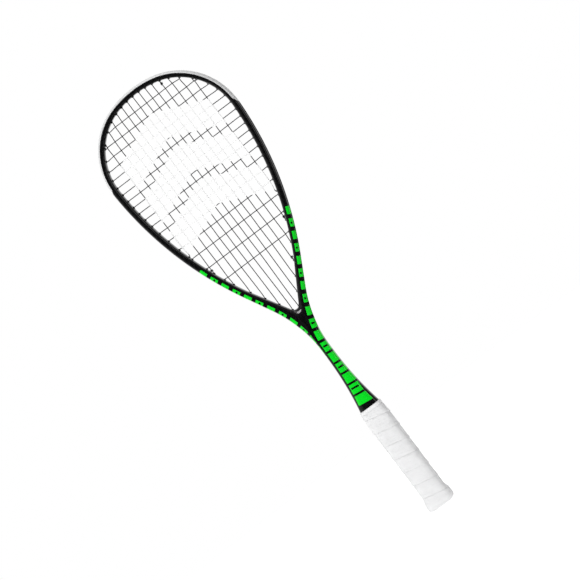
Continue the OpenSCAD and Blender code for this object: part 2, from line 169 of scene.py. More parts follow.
print("hoop is", round(2 * max(outer(s).x for s in range(500)), 1), "mm wide;",
      "neck at", round(NECK_Z, 1))

# %% [markdown]
# ## The vee
# Between the arms the inner line runs straight down each side and round a small
# arc at the bottom of the vee. The arc touches both straight sides.

# %% Inner line of the vee
VEE_R = 7.0
I3, I4 = inner(S3), inner(S4)
GAMMA = math.atan2(I3.x - I4.x, I3.y - I4.y) * RAD
APEX_Z = I4.y - I4.x / math.tan(GAMMA / RAD)
VEE_C = APEX_Z + VEE_R / sind(GAMMA)
VEE_Z = VEE_C - VEE_R
VEE_T = Vector((VEE_R * cosd(GAMMA), VEE_C - VEE_R * sind(GAMMA)))


def vee(t):
    """A point on the arc at the bottom of the vee: 0 where it starts, 1 in the middle."""
    a = GAMMA + (90 - GAMMA) * t
    return Vector((VEE_R * cosd(a), VEE_C - VEE_R * sind(a)))


def vee_at(x):
    if x > VEE_T.x:
        return Vector((x, APEX_Z + x / math.tan(GAMMA / RAD)))
    return Vector((x, VEE_C - math.sqrt(VEE_R * VEE_R - x * x)))


print("bottom of the vee at", round(VEE_Z, 1))

# %% [markdown]
# ## Sweeping a section
# Most pieces here are one section carried along a line: the tube, the bumper,
# the strips, the strings and the tape. Blender's extrude does that: it copies
# the last ring of edges and joins it on with faces, and the new vertices are
# then moved to their place. Two numbers are kept on each vertex, the way along
# and the way across, and become the piece's UV map.

# %% Sweep
MM = 0.001
LENGTH_OF_RINGS = 60


def millimetres(x, y, z):
    return Vector((x, y, z)) * MM


def mark_layers(bm):
    return [bm.verts.layers.float.new(name) for name in ("along", "across")]


def put(ring, points, marks, layers):
    """Moves a ring to its points and writes its marks."""
    for v, p, pair in zip(ring, points, marks):
        v.co = p
        for layer, mark in zip(layers, pair):
            v[layer] = mark * MM


def grow(bm, rings, marks):
    """Extrudes the first ring of points through all the others."""
    layers = mark_layers(bm)
    ring = [bm.verts.new(p) for p in rings[0]]
    edges = [bm.edges.new(pair) for pair in zip(ring, ring[1:] + ring[:1])]
    put(ring, rings[0], marks[0], layers)
    for points, ring_marks in zip(rings[1:], marks[1:]):
        grown = bmesh.ops.extrude_edge_only(bm, edges=edges)["geom"]
        fresh = {g for g in grown if isinstance(g, bmesh.types.BMVert)}
        ring = [next(e.other_vert(v) for e in v.link_edges if e.other_vert(v) in fresh)
                for v in ring]
        edges = [g for g in grown if isinstance(g, bmesh.types.BMEdge)
                 and all(v in fresh for v in g.verts)]
        put(ring, points, ring_marks, layers)


def close_holes(bm):
    bmesh.ops.holes_fill(bm, edges=[e for e in bm.edges if e.is_boundary], sides=0)


def sweep(rings, marks, capped=True):
    """A bmesh of closed rings of points joined by extruding. marks gives each
    point's (along, across) pair in millimetres. A long sweep is made in lengths,
    because every operator looks at the whole bmesh, and they are welded at the end."""
    whole = bmesh.new()
    mark_layers(whole)
    for start in range(0, len(rings) - 1, LENGTH_OF_RINGS):
        part = bmesh.new()
        stop = start + LENGTH_OF_RINGS + 1
        grow(part, rings[start:stop], marks[start:stop])
        carrier = bpy.data.meshes.new("part")
        part.to_mesh(carrier)
        part.free()
        whole.from_mesh(carrier)
        bpy.data.meshes.remove(carrier)
    bmesh.ops.remove_doubles(whole, verts=whole.verts, dist=1e-7)
    if capped:
        close_holes(whole)
    return whole


print("a sweep is made", LENGTH_OF_RINGS, "rings at a time")

# %% Finish and place a piece
def uv_from_marks(bm):
    along, across = (bm.verts.layers.float[name] for name in ("along", "across"))
    uv = bm.loops.layers.uv.new("flow")
    for face in bm.faces:
        for loop in face.loops:
            loop[uv].uv = (loop.vert[along], loop.vert[across])


def piece(bm, name, cad_node, finish, sharp):
    """Turns a bmesh into a finished piece that stands for a CAD node."""
    bmesh.ops.recalc_face_normals(bm, faces=bm.faces)
    mesh = bpy.data.meshes.new(name)
    bm.to_mesh(mesh)
    bm.free()
    mesh.shade_smooth()
    mesh.set_sharp_from_angle(angle=math.radians(sharp))
    mesh.materials.append(finish)
    obj = add_object(name, mesh)
    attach(obj, BODY)
    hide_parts(cad_node)
    print(name, len(mesh.polygons), "faces, size",
          [round(d / MM, 1) for d in obj.dimensions], "mm")
    return obj


# %% [markdown]
# ## Sums with sockets
# A pattern in a material is a long sum of small nodes. The class below wraps a
# socket and gives it the signs of arithmetic, so `1 - mask` adds the Math node
# for you. Every other node comes from `node`, which takes its type, its
# settings and what goes into its sockets.

# %% Wire and node
class Wire:
    """A socket that can be used in sums."""

    def __init__(self, socket):
        self.socket, self.tree = socket, socket.id_data

    def math(self, operation, *values):
        return node(self.tree, "ShaderNodeMath", {"operation": operation},
                    dict(enumerate(values)))

    def __add__(self, other):
        return self.math("ADD", self, other)

    def __radd__(self, other):
        return self.math("ADD", other, self)

    def __sub__(self, other):
        return self.math("SUBTRACT", self, other)

    def __rsub__(self, other):
        return self.math("SUBTRACT", other, self)

    def __mul__(self, other):
        return self.math("MULTIPLY", self, other)

    def __rmul__(self, other):
        return self.math("MULTIPLY", other, self)

    def __truediv__(self, other):
        return self.math("DIVIDE", self, other)

    def size(self):
        return self.math("ABSOLUTE", self)

    def part(self):
        return self.math("FRACT", self)

    def rise(self, start, end):
        """0 below start, 1 above end, smooth between."""
        return node(self.tree, "ShaderNodeMapRange", {"interpolation_type": "SMOOTHSTEP"},
                    {"Value": self, "From Min": start, "From Max": end})

    def within(self, low, high, soft):
        """1 between low and high, with edges that are 2 * soft wide."""
        return self.rise(low - soft, low + soft) * (1 - self.rise(high - soft, high + soft))


def node(tree, kind, settings=None, sockets=None, out=0):
    """Adds one node: its settings first, then the values or wires of its sockets."""
    made = tree.nodes.new(kind)
    for key, value in (settings or {}).items():
        setattr(made, key, value)
    for key, value in (sockets or {}).items():
        if isinstance(value, Wire):
            tree.links.new(value.socket, made.inputs[key])
        else:
            made.inputs[key].default_value = value
    return Wire(made.outputs[out])


# %% Patterns and finishes
def parts(vector):
    """The x, y and z of a vector wire."""
    split = node(vector.tree, "ShaderNodeSeparateXYZ", {}, {0: vector}).socket.node
    return [Wire(socket) for socket in split.outputs]


def stretched(vector, scale, turn=0.0):
    """A vector wire turned about z and scaled along each axis."""
    return node(vector.tree, "ShaderNodeMapping", {},
                {"Vector": vector, "Rotation": (0, 0, turn), "Scale": scale})


def place_mm(tree):
    """Object coordinates in millimetres."""
    return stretched(node(tree, "ShaderNodeTexCoord", out="Object"), [1 / MM] * 3)


def flow_mm(tree, name="flow"):
    """One of the piece's own UV maps in millimetres: x is along, y is across."""
    return stretched(node(tree, "ShaderNodeUVMap", {"uv_map": name}), [1 / MM] * 3)


def noise(vector, scale, detail=2.0, roughness=0.5):
    """Noise with scale in lumps per millimetre when the vector is in millimetres."""
    return node(vector.tree, "ShaderNodeTexNoise", {},
                {"Vector": vector, "Scale": scale, "Detail": detail, "Roughness": roughness})


def blend(amount, first, second):
    """Mixes two colours by amount."""
    first, second = (c if isinstance(c, Wire) else (*c, 1) for c in (first, second))
    return node(amount.tree, "ShaderNodeMix", {"data_type": "RGBA"},
                {0: amount, 6: first, 7: second}, out=2)


def bump(height, strength, distance):
    """A normal bent by a height pattern. distance is in metres."""
    return node(height.tree, "ShaderNodeBump", {},
                {"Height": height, "Strength": strength, "Distance": distance})


def new_finish(name, colour, roughness, **constants):
    """A material with one Principled shader. Returns it, its tree and the shader."""
    made = bpy.data.materials.new(name)
    made.use_nodes = True
    tree = made.node_tree
    tree.nodes.clear()
    shader = tree.nodes.new("ShaderNodeBsdfPrincipled")
    result = tree.nodes.new("ShaderNodeOutputMaterial")
    tree.links.new(shader.outputs[0], result.inputs[0])
    shader.inputs["Base Color"].default_value = (*colour, 1)
    shader.inputs["Roughness"].default_value = roughness
    for key, value in constants.items():
        shader.inputs[key.replace("_", " ")].default_value = value
    made.diffuse_color = (*colour, 1)
    print("finish", name)
    return made, tree, shader


def drive(shader, **wires):
    """Links wires to the shader's sockets of the same names."""
    for key, wire in wires.items():
        wire.tree.links.new(wire.socket, shader.inputs[key.replace("_", " ")])


# %% [markdown]
# ## Black lacquer over carbon
# The tube is moulded from carbon cloth, painted black and covered in clear
# lacquer. A clear coat gives the sharp reflection, and below it lies the twill
# of the cloth, two threads over and two under, so faint that it shows only
# close up. Bright green blocks run down the arms and the shaft. They have a UV
# map of their own, `run`, which holds the distance from the tip and the
# distance in from the outer edge. Small chips come in patches, and hair
# scratches run at a slant.

# %% Green blocks
GREEN = (0.0, 0.68, 0.016)
RUN_START, RUN_END = 314.0, 598.0
BLOCK, SLANT = 16.87, 0.12
GRIP_TOP = 160.5
FLARE_DROP, FLARE_POWER = 8.0, 2.05
FLARE_L = NECK_Z - FLARE_DROP - GRIP_TOP


def green_blocks(tree):
    """The mask of the painted blocks. q is below 0 on the run that slips away."""
    s, q, _ = parts(flow_mm(tree, "run"))
    q_in, main = q.size(), q.rise(-0.05, 0.05)
    # how far in from the outer edge the blocks reach, and where they begin
    down = (s - (S5 + FLARE_DROP)) / FLARE_L
    down = down.math("MAXIMUM", down, 0.0)
    wide = 4.5 + 4.0 * s.rise(S4 + 6, S5) + 19.0 * down.math("POWER", down, FLARE_POWER)
    narrow = 5.4 - 2.6 * s.rise(S4 + 20, S5) - 3.4 * s.rise(S5 + 4, S5 + 18)
    limit = wide * main + narrow * (1 - main)
    near = 3.3 * s.rise(RUN_END - 44, RUN_END - 14) - 0.6
    # slanted cells with a gap, every second one cut by a slot
    cell = (s + q_in * SLANT - RUN_START) / BLOCK
    f = cell.part()
    odd = (cell * 0.5).part().rise(0.499, 0.501)
    solid = f.within(0.01, 0.66 + 0.17 * s.rise(S4, S5 + 30), 0.01)
    slot = f.within(0.28, 0.44, 0.01) * q_in.within(near + 1.7, limit - 1.2, 0.1) * odd
    return (q_in.within(near, limit, 0.12) * s.within(RUN_START, RUN_END, 0.2)
            * solid * (1 - slot))


# %% Carbon lacquer
def carbon_lacquer():
    made, tree, shader = new_finish("carbon_lacquer", (0.006, 0.006, 0.007), 0.3,
                                    Specular_IOR_Level=0.06, Coat_Weight=1.0,
                                    Coat_Roughness=0.06, Coat_IOR=1.45)
    place, flow, paint = place_mm(tree), flow_mm(tree), green_blocks(tree)
    # twill: threads 2 mm wide, two over and two under
    a, b = (way * 0.5 for way in parts(flow)[:2])
    over = ((a.math("FLOOR", a) + b.math("FLOOR", b)) * 0.25).part().rise(0.49, 0.51)
    thread = over * (a * 8).part() + (1 - over) * (b * 8).part()
    cloud = noise(place, 0.05, 3)
    hair = noise(stretched(flow, (0.05, 2.2, 1), 0.5), 1.0, 4, 0.7).rise(0.66, 0.72)
    chips = (noise(place, 0.5, 5, 0.75).rise(0.72, 0.76)
             * noise(place, 0.02, 1).rise(0.5, 0.62))
    dark = blend(over * 0.7 + cloud * 0.3, (0.0010, 0.0010, 0.0012), (0.0040, 0.0040, 0.0046))
    worn = blend(chips * 0.25, dark, (0.16, 0.16, 0.16))
    green = blend(cloud, GREEN, (0.0, 0.66, 0.014))
    height = (paint * 0.9 + thread * 0.06 + noise(place, 0.35, 2) * 0.25
              - chips * 0.6 - hair * 0.06)
    drive(shader, Base_Color=blend(paint, worn, green),
          Roughness=0.24 + 0.16 * over + 0.2 * paint + 0.1 * cloud,
          Coat_Weight=(1 - 0.55 * chips) * (1 - 0.12 * hair),
          Normal=bump(height, 0.35, 0.00006))
    return made


CARBON = carbon_lacquer()
print("the lacquer has", len(CARBON.node_tree.nodes), "nodes")

# %% [markdown]
# ## The section of the tube
# Seen in section the tube is a rounded box, 9.3 mm wide and 19 mm deep, with a
# groove in its outer face for the strings. The curve is a superellipse: an
# ellipse pushed out towards its corners. Over the head the outer face is cut
# back by the thickness of the bumper, and the cut runs out in a slant where the
# bumper ends.

# %% Section points
GUARD_T, GUARD_S, GUARD_RAMP = 3.4, 161.8, 8.0
RAMP_S = GUARD_S - GUARD_RAMP
GROOVE_T = 2.4
SQUARE = 0.8
TURNS = [168, 156, 144, 132, 120, 110, 100, 90, 80, 71, 62, 53, 45, 37, 30, 24, 19]
LIP_TURNS = [14, 10, 6, 3]


def power(c, p=SQUARE):
    return math.copysign(abs(c) ** p, c)


def mix(a, b, t):
    return a + (b - a) * t


def bulge(L, b, t):
    """The superellipse of a section L wide and 2b deep, at angle t."""
    return (L / 2 * (1 + power(cosd(t))), b * power(sind(t)))


def cut_back(s):
    """1 where the bumper lies in the tube, 0 past its end."""
    return max(0.0, min(1.0, (GUARD_S - s) / GUARD_RAMP))


def far_side(points):
    """The same points on the other half of a section, in reverse order."""
    return [(u, -v) for u, v in reversed(points)]


def tube_section(L, b, groove, cut):
    """Points (u, v) round the tube, u from the inner line outwards."""
    flat = L - GUARD_T * cut
    half = [(min(u, flat), v) for u, v in (bulge(L, b, t) for t in TURNS)]
    deep = min(L - GROOVE_T, flat)
    lip = [(flat - 0.02, 3.5), (flat - 0.12, 3.25), (flat - 0.5 * (flat - deep), 3.08),
           (deep, 3.0)]
    plain = [bulge(L, b, t) for t in LIP_TURNS]
    half += [(mix(p[0], g[0], groove), mix(p[1], g[1], groove)) for p, g in zip(plain, lip)]
    return [(0, 0)] + half + [(mix(L, deep, groove), 0)] + far_side(half)


def place_section(p, q, points):
    """Puts section points between the inner point p and the outer point q."""
    way = (q - p).normalized()
    return [millimetres(p.x + u * way.x, v, p.y + u * way.y) for u, v in points]


print("points in the tube's section:", len(tube_section(BEAM_W, HOOP_D / 2, 1, 0)))

# %% [markdown]
# ## The tube
# The right arm is swept from the tip of the hoop down to the butt, as if the
# left arm weren't there. Below the vee its section widens until it spans the
# whole shaft. Cutting this half on the middle plane and mirroring it joins the
# two arms in one shaft with a real saddle at the bottom of the vee. Rounds of
# smoothing, which move the middle only from front to back, soften the valley
# there, as moulding does.

# %% Shaft and curves
NECK_B, HOOP_B = NECK_D / 2, HOOP_D / 2
CORE_W, CORE_D, FRAME_END = 28.4, 24.0, 3.2
COLLAR_W, COLLAR_L = 30.8, 12.0


def flare(z):
    """Half width and half depth of the shaft at height z."""
    t = max(0.0, min(1.0, (NECK_Z - FLARE_DROP - z) / FLARE_L))
    wide = mix(NECK_W, COLLAR_W, t ** FLARE_POWER)
    if z < GRIP_TOP:
        wide = mix(CORE_W, COLLAR_W, max(0.0, (z - GRIP_TOP + COLLAR_L) / COLLAR_L))
    return wide / 2, mix(NECK_B, CORE_D / 2, t ** 1.5)


def steps(a, b, size):
    n = max(1, round(abs(b - a) / size))
    return [mix(a, b, k / n) for k in range(n + 1)]


def knot_before(knots, t):
    return max(k for k in range(len(knots) - 1) if knots[k][0] <= t + 1e-9)


def straight(knots, t):
    """The value at t on straight lines through knots (t, value)."""
    i = knot_before(knots, t)
    (t0, a), (t1, b) = knots[i], knots[i + 1]
    return mix(a, b, (t - t0) / (t1 - t0))


def hermite(a, b, slope_a, slope_b, f):
    """A smooth step from a to b, with the slope given at each end."""
    return (a * (2 * f ** 3 - 3 * f * f + 1) + slope_a * (f ** 3 - 2 * f * f + f)
            + b * (3 * f * f - 2 * f ** 3) + slope_b * (f ** 3 - f * f))


def through(knots, t):
    """A smooth curve through knots (t, value), for numbers or vectors."""
    i = knot_before(knots, t)
    (t0, a), (t1, b) = knots[i], knots[i + 1]
    before, after = knots[max(i - 1, 0)], knots[min(i + 2, len(knots) - 1)]
    slope_a = (b - before[1]) / (t1 - before[0]) * (t1 - t0)
    slope_b = (after[1] - a) / (after[0] - t0) * (t1 - t0)
    return hermite(a, b, slope_a, slope_b, (t - t0) / (t1 - t0))


print("shaft:", [round(2 * size, 1) for size in flare(GRIP_TOP)], "mm at the grip")

# %% Sweep the right half
inner_knots = [(S4 - 10, inner(S4 - 10)), (S4, I4), (S4 + 8, I4.lerp(VEE_T, 0.55)),
               (S4 + 16, VEE_T), (S4 + 22, vee(0.4)), (S4 + 27, vee(0.75)), (S4 + 32, vee(1)),
               (S4 + 36.5, Vector((-2.5, VEE_Z - 1.6))), (S4 + 41.5, Vector((-6, VEE_Z - 7)))]
inner_knots += [(s, Vector((-outer(s).x, outer(s).y)))
                for s in (S4 + 50, S4 + 58, S4 + 69, S5, S5 + 6)]
groove_knots = [(0, 1.0), (S4 + 41.5, 1.0), (S4 + 50, 0.6), (S4 + 58, 0.0), (S5 + 99, 0.0)]
depth_knots = [(0, HOOP_B), (S4, HOOP_B), (S4 + 27, NECK_B), (S5 + 99, NECK_B)]

# each station: distance, inner point, outer point, half depth, groove and cut
stations = [(s, inner(s), outer(s), HOOP_B, 1.0, cut_back(s))
            for s in steps(0, RAMP_S, 3) + steps(RAMP_S, GUARD_S, 1)[1:]
            + steps(GUARD_S, S4, 3)[1:]]
stations += [(s, through(inner_knots, s), outer(s), straight(depth_knots, s),
              straight(groove_knots, s), 0.0) for s in steps(S4, S5, 1.6)[1:]]
for z in steps(NECK_Z, GRIP_TOP, 3)[1:] + [GRIP_TOP - COLLAR_L, 110, 60, FRAME_END]:
    w, b = flare(z)
    stations.append((S5 + NECK_Z - z, Vector((-w, z)), Vector((w, z)), b, 0.0, 0.0))

rings, marks = [], []
for s, p, q, b, groove, cut in stations:
    points = tube_section((q - p).length, b, groove, cut)
    rings.append(place_section(p, q, points))
    girth, ring_marks = 0.0, [(s, 0.0)]
    for here, there in zip(points, points[1:]):
        girth += math.dist(here, there)
        ring_marks.append((s, girth))
    marks.append(ring_marks)
tube = sweep(rings, marks, capped=False)
print("right half:", len(rings), "rings of", len(rings[0]), "points")

# %% Cut, mirror and smooth
SMOOTH_ROUNDS = 40


def everything(bm):
    return bm.verts[:] + bm.edges[:] + bm.faces[:]


def in_valley(spot):
    near = 9 if spot.z > VEE_Z - 20 else 4
    return abs(spot.x) < near and NECK_Z - 4 < spot.z < VEE_Z + 2


bmesh.ops.bisect_plane(tube, geom=everything(tube), dist=1e-7, plane_co=(0, 0, 0),
                       plane_no=(1, 0, 0), clear_inner=True)
bmesh.ops.mirror(tube, geom=everything(tube), axis="X", merge_dist=2e-5)
bmesh.ops.remove_doubles(tube, verts=tube.verts, dist=1e-5)
valley = [v for v in tube.verts if in_valley(v.co / MM)]
for _ in range(SMOOTH_ROUNDS):
    bmesh.ops.smooth_vert(tube, verts=valley, factor=0.5, use_axis_x=False, use_axis_y=True,
                          use_axis_z=False)
close_holes(tube)
print("tube:", len(tube.verts), "vertices, open edges:",
      sum(e.is_boundary for e in tube.edges))

# %% [markdown]
# ## Where the green blocks run
# Each arm carries a run of blocks along its outer edge. On the front the right
# run moves on to the middle of the shaft, and the left one slips round the
# side. The back is the front turned half a turn about the handle. A second UV
# map holds each corner's place on its run, with a minus sign on the run that
# slips away.

# %% UV map of the runs
AWAY = 99.0


def run_place(x, z):
    """Distance along the outer line and in from it, for a point on the right half
    or a little past the axis."""
    spot = Vector((x, z))
    if z < NECK_Z:
        return S5 + NECK_Z - z, flare(z)[0] - x
    away = spot - C4
    turn = math.atan2(-away.x, -away.y) * RAD
    if 90 <= turn <= H3 and away.length < THROAT_R + 40 and z < P3.y:
        return S4 + (H3 - turn) / RAD * THROAT_R, away.length - THROAT_R
    reach = (spot - P3).dot(ARM_DIR)
    if 0 <= reach <= ARM_L + 3:
        return S3 + reach, -(spot - P3).dot(facing(H3))
    away = spot - C3
    turn = math.atan2(away.x, away.y) * RAD
    if H2 <= turn <= H3:
        return S2 + (turn - H2) / RAD * SIDE_R, SIDE_R - away.length
    return 0.0, 5.0


def slips_at(z):
    """The x that parts the two runs on the front face."""
    if z < NECK_Z - 19:
        return -AWAY
    return -max(0.0, min(5.0, (VEE_Z - z) / 6))


uv_from_marks(tube)
runs = tube.loops.layers.uv.new("run")
for face in tube.faces:
    centre = face.calc_center_median() / MM
    turned = 1 if centre.y < 0 else -1
    main = centre.x * turned > slips_at(centre.z)
    for loop in face.loops:
        spot = loop.vert.co / MM
        s, q = run_place(spot.x * turned if main else -spot.x * turned, spot.z)
        q = max(q, 0.1)
        loop[runs].uv = (s * MM, (q if main else -q) * MM)
piece(tube, "lacquered_frame", "frame", finish=CARBON, sharp=42)

# %% [markdown]
# ## The head bumper
# A white moulded guard wraps the outside of the hoop over the tip and shoulders.
# It fills the cut in the tube flush with its faces, and thins out where the cut
# does. The plastic lets a little light through, so it has some subsurface
# scattering. Floor rash shows as faint grey scuffs on its outer face.

# %% White guard plastic
def guard_plastic():
    made, tree, shader = new_finish("guard_plastic", (0.78, 0.78, 0.78), 0.38,
                                    Subsurface_Weight=0.25, Subsurface_Scale=0.004,
                                    Subsurface_Radius=(1, 1, 1), IOR=1.5)
    place = place_mm(tree)
    outer_face = 1 - parts(place)[1].size().rise(5.25, 7.0)
    streak = noise(stretched(flow_mm(tree), (0.09, 1.3, 1)), 1.0, 5, 0.7).rise(0.6, 0.74)
    rash = streak * noise(place, 0.03, 2).rise(0.45, 0.62) * outer_face
    cloud = noise(place, 0.04, 3)
    grain = noise(place, 2.2, 3, 0.6)
    base = blend(cloud, (0.74, 0.74, 0.74), (0.66, 0.665, 0.67))
    drive(shader, Base_Color=blend(rash * 0.35, base, (0.42, 0.42, 0.43)),
          Roughness=0.34 + 0.14 * cloud + 0.25 * rash,
          Normal=bump(grain * 0.3 + cloud * 0.5 - rash * 0.5, 0.4, 0.00012))
    return made


# %% Bumper along the head
GUARD_TURNS = [66, 60, 53, 46, 39, 32, 25, 18, 11, 5]
END_CUT = 0.08


def guard_section(cut):
    """Points (u, v) of the bumper's section, from its front foot round to its back foot."""
    L, b = BEAM_W, HOOP_B
    low = L - GUARD_T * cut + 0.03
    foot = math.sqrt(max(0.0, 1 - abs(2 * low / L - 1) ** (2 / SQUARE))) ** SQUARE * b
    arc = [bulge(L, b, t) for t in GUARD_TURNS]
    face = [(low, foot)] + [(u, v) if u > low else (low, foot) for u, v in arc]
    lip = max(low, L - 1.2 * min(1.0, cut * 2))
    channel = [(lip, 2.95), (low, 3.1)]
    return face + [(L, 0.0)] + far_side(face) + far_side(channel) + [(lip, 0.0)] + channel


def along_hoop(s):
    """Inner and outer points for a signed distance: minus is the left half."""
    p, q = inner(abs(s)), outer(abs(s))
    return (Vector((-p.x, p.y)), Vector((-q.x, q.y))) if s < 0 else (p, q)


last = GUARD_S - GUARD_RAMP * END_CUT
spots = (steps(-last, -RAMP_S, 1) + steps(-RAMP_S, RAMP_S, 3)[1:]
         + steps(RAMP_S, last, 1)[1:])
sections = [guard_section(cut_back(abs(s))) for s in spots]
bm = sweep([place_section(*along_hoop(s), points) for s, points in zip(spots, sections)],
           [[(s, v) for u, v in points] for s, points in zip(spots, sections)])
uv_from_marks(bm)
piece(bm, "bumper", "bumper_guard", finish=guard_plastic(), sharp=38)

# %% [markdown]
# ## The stringing pattern
# Fourteen mains run up the racket and eighteen crosses run across it, one cord
# for each. Every hole through the tube has a mouth inside the hoop and an exit
# in the groove. The holes are found where each string's line meets the inner
# line, by halving an interval until it is short.

# %% Holes
MAINS, CROSSES = 7, 18  # mains in each half, and crosses
STRING_D = 1.2
WEAVE = STRING_D / 2 + 0.03
SIDE_Y, LOOP_Y, BARREL_OUT = 0.68, 1.0, 0.7
CORD_UNDER_GUARD, CORD_IN_GROOVE = 1.95, 0.98
WIDEST = S1 + SHOULDER_R * (90 - TOP_A) / RAD


def main_x(k):
    """The distance from the middle of main k, counted outwards in each half."""
    return 5.1 + 10 * k + 0.0777 * k ** 2.6


def gap_at(j):
    return 10.9 + (4.3 * ((9 - j) / 8) ** 2.5 if j <= 9 else 14.5 * ((j - 9) / 8) ** 1.7)


CROSS_Z = [657.9 - sum(gap_at(i) for i in range(1, j + 1)) for j in range(CROSSES)]


def seek(test, low, high):
    """The distance at which test turns from true to false."""
    for _ in range(40):
        middle = (low + high) / 2
        low, high = (middle, high) if test(middle) else (low, middle)
    return low


def groove_point(s, y):
    under = CORD_UNDER_GUARD if abs(s) < GUARD_S else CORD_IN_GROOVE
    spot = outer(abs(s)) - under * outward(abs(s))
    return Vector((math.copysign(spot.x, s), y, spot.y))


def hole(mouth, s):
    end = groove_point(s, 0)
    return mouth, Vector((end.x, end.z)), s


def top_hole(k):
    s = seek(lambda d: inner(d).x < main_x(k), 0, WIDEST)
    return hole(inner(s), s)


def low_hole(k):
    x = main_x(k)
    s = seek(lambda d: inner(d).x > x, WIDEST, S4) - 0.6
    if k == MAINS - 1:
        return hole(inner(s), s)
    mouth = vee_at(x) if x < I4.x else inner(s + 0.6)
    return hole(mouth, seek(lambda d: outer(d).x > x + (7.5 if k == 0 else 4.5), WIDEST, S5))


def cross_hole(j):
    s = seek(lambda d: inner(d).y > CROSS_Z[j], 0, S4) + (0.6 if j == 15 else 0)
    return hole(inner(s), s)


TOP = [top_hole(k) for k in range(MAINS)]
LOW = [low_hole(k) for k in range(MAINS)]
CROSS = [TOP[5]] + [cross_hole(j) for j in range(1, CROSSES)]
HOLES = TOP + LOW + CROSS[1:]
print("holes in each half of the tube:", len(HOLES))

# %% [markdown]
# ## Grommet strips
# Black nylon strips lie in the groove, and their barrels pass through the tube
# so that the strings don't cut the carbon. A strip is swept along the groove. A
# barrel is a small profile spun round its own axis, with a rim where the string
# leaves it.

# %% Black nylon
def black_nylon():
    made, tree, shader = new_finish("black_nylon", (0.012, 0.012, 0.013), 0.42)
    place = place_mm(tree)
    cloud = noise(place, 0.15, 3)
    grain = noise(place, 5.0, 3, 0.65)
    rub = noise(place, 1.1, 4, 0.7).rise(0.56, 0.7)
    drive(shader, Base_Color=blend(rub * 0.4 + cloud * 0.3,
                                   (0.010, 0.010, 0.011), (0.035, 0.035, 0.037)),
          Roughness=0.36 + 0.2 * cloud + 0.12 * grain,
          Normal=bump(grain * 0.5 + cloud, 0.4, 0.0001))
    return made


NYLON = black_nylon()

# %% Strips and barrels
STRIP_W, STRIP_T = 5.7, 0.8
BARREL_R, BORE_R, BARREL_SIDES = 1.9, 1.4, 16
SPLIT_S, LAST_S = 359.0, 474.0


def strip(a, b, deep):
    """A strip from a to b along the hoop, its face deep under the outer line."""
    w, t = STRIP_W / 2, STRIP_T
    section = [(deep, -w), (deep, w), (deep - t + 0.2, w), (deep - t, w - 0.25),
               (deep - t, 0), (deep - t, 0.25 - w), (deep - t + 0.2, -w)]
    rings, marks = [], []
    for s in steps(a, b, 3):
        p, q = along_hoop(s)
        L = (q - p).length
        rings.append(place_section(p, q, [(L - c, v) for c, v in section]))
        marks.append([(s, v) for c, v in section])
    return sweep(rings, marks)


def add_barrel(bm, the_hole, side):
    """Spins one barrel and sets it in its hole. side is -1 on the left half."""
    mouth, end = the_hole[:2]
    way = (end - mouth).normalized()
    length = (end - mouth).length - 0.55
    profile = [(BORE_R, -BARREL_OUT), (1.68, -BARREL_OUT), (BARREL_R, 0.3 - BARREL_OUT),
               (BARREL_R, length - 0.5), (2.5, length - 0.35), (2.4, length - 0.08),
               (BORE_R + 0.2, length), (BORE_R, length - 0.2)]
    before = set(bm.verts)
    verts = [bm.verts.new((r, 0, h)) for r, h in profile]
    edges = [bm.edges.new(pair) for pair in zip(verts, verts[1:] + verts[:1])]
    bmesh.ops.spin(bm, geom=verts + edges, cent=(0, 0, 0), axis=(0, 0, 1),
                   angle=2 * math.pi, steps=BARREL_SIDES, use_merge=True)
    turn = Vector((0, 0, 1)).rotation_difference(Vector((way.x, 0, way.y)))
    for v in set(bm.verts) - before:
        spot = turn @ v.co + Vector((mouth.x, 0, mouth.y))
        v.co = millimetres(side * spot.x, spot.y, spot.z)


def grommet_strip(name, cad_node, a, b, deep, low, high, sides):
    """One piece: a strip from a to b with the barrels of the holes from low to high."""
    bm = strip(a, b, deep)
    for the_hole in HOLES:
        if low < the_hole[2] < high:
            for side in sides:
                add_barrel(bm, the_hole, side)
    uv_from_marks(bm)
    piece(bm, name, cad_node, finish=NYLON, sharp=40)


grommet_strip("head_strip", "head_grommets", -GUARD_S + 1, GUARD_S - 1, GUARD_T,
              -1, GUARD_S, (1, -1))
for part_name, low, high, gap in (("side", GUARD_S, SPLIT_S, 0.8),
                                  ("throat", SPLIT_S, LAST_S, 0.3)):
    for hand, side in (("right", 1), ("left", -1)):
        a, b = sorted((side * (low + gap), side * high))
        grommet_strip(f"{hand}_{part_name}_strip", f"{part_name}_grommets_{hand}", a, b,
                      GROOVE_T, low, high, (side,))

# %% [markdown]
# ## The paths of the strings
# The mains' cord goes down one hole, along the groove and up the next, and so
# on to the side, on both halves. The crosses' cord weaves over and under the
# mains, row by row. The ends wind round a neighbouring string as a tie-off. The
# turning points are worked out here, and a smooth curve through them makes the
# waves of the weave.

# %% Through the holes and along the groove
KNOT_R, CLEAR = 1.42, 2.5


def spot_in(the_hole, side, y, backwards):
    """A point on a hole's axis, so many millimetres inside its mouth."""
    mouth, end = the_hole[:2]
    p = mouth - backwards * (end - mouth).normalized()
    return Vector((side * p.x, y, p.y))


def leave(the_hole, side, y):
    end = the_hole[1]
    return [spot_in(the_hole, side, y, BARREL_OUT + 0.6), spot_in(the_hole, side, y, -1),
            Vector((side * end.x, y, end.y))]


def in_groove(a, b, y):
    n = max(2, math.ceil(abs(b - a) / 9))
    e = math.copysign(2.2, b - a)
    return [groove_point(mix(a + e, b - e, k / n), y) for k in range(n + 1)]


def knot(x, z, turn):
    """One and three quarter turns round a string."""
    return [Vector((x + KNOT_R * cosd(90 + t * turn), KNOT_R * sind(90 + t * turn),
                    z + t / 240)) for t in range(0, 631, 45)]


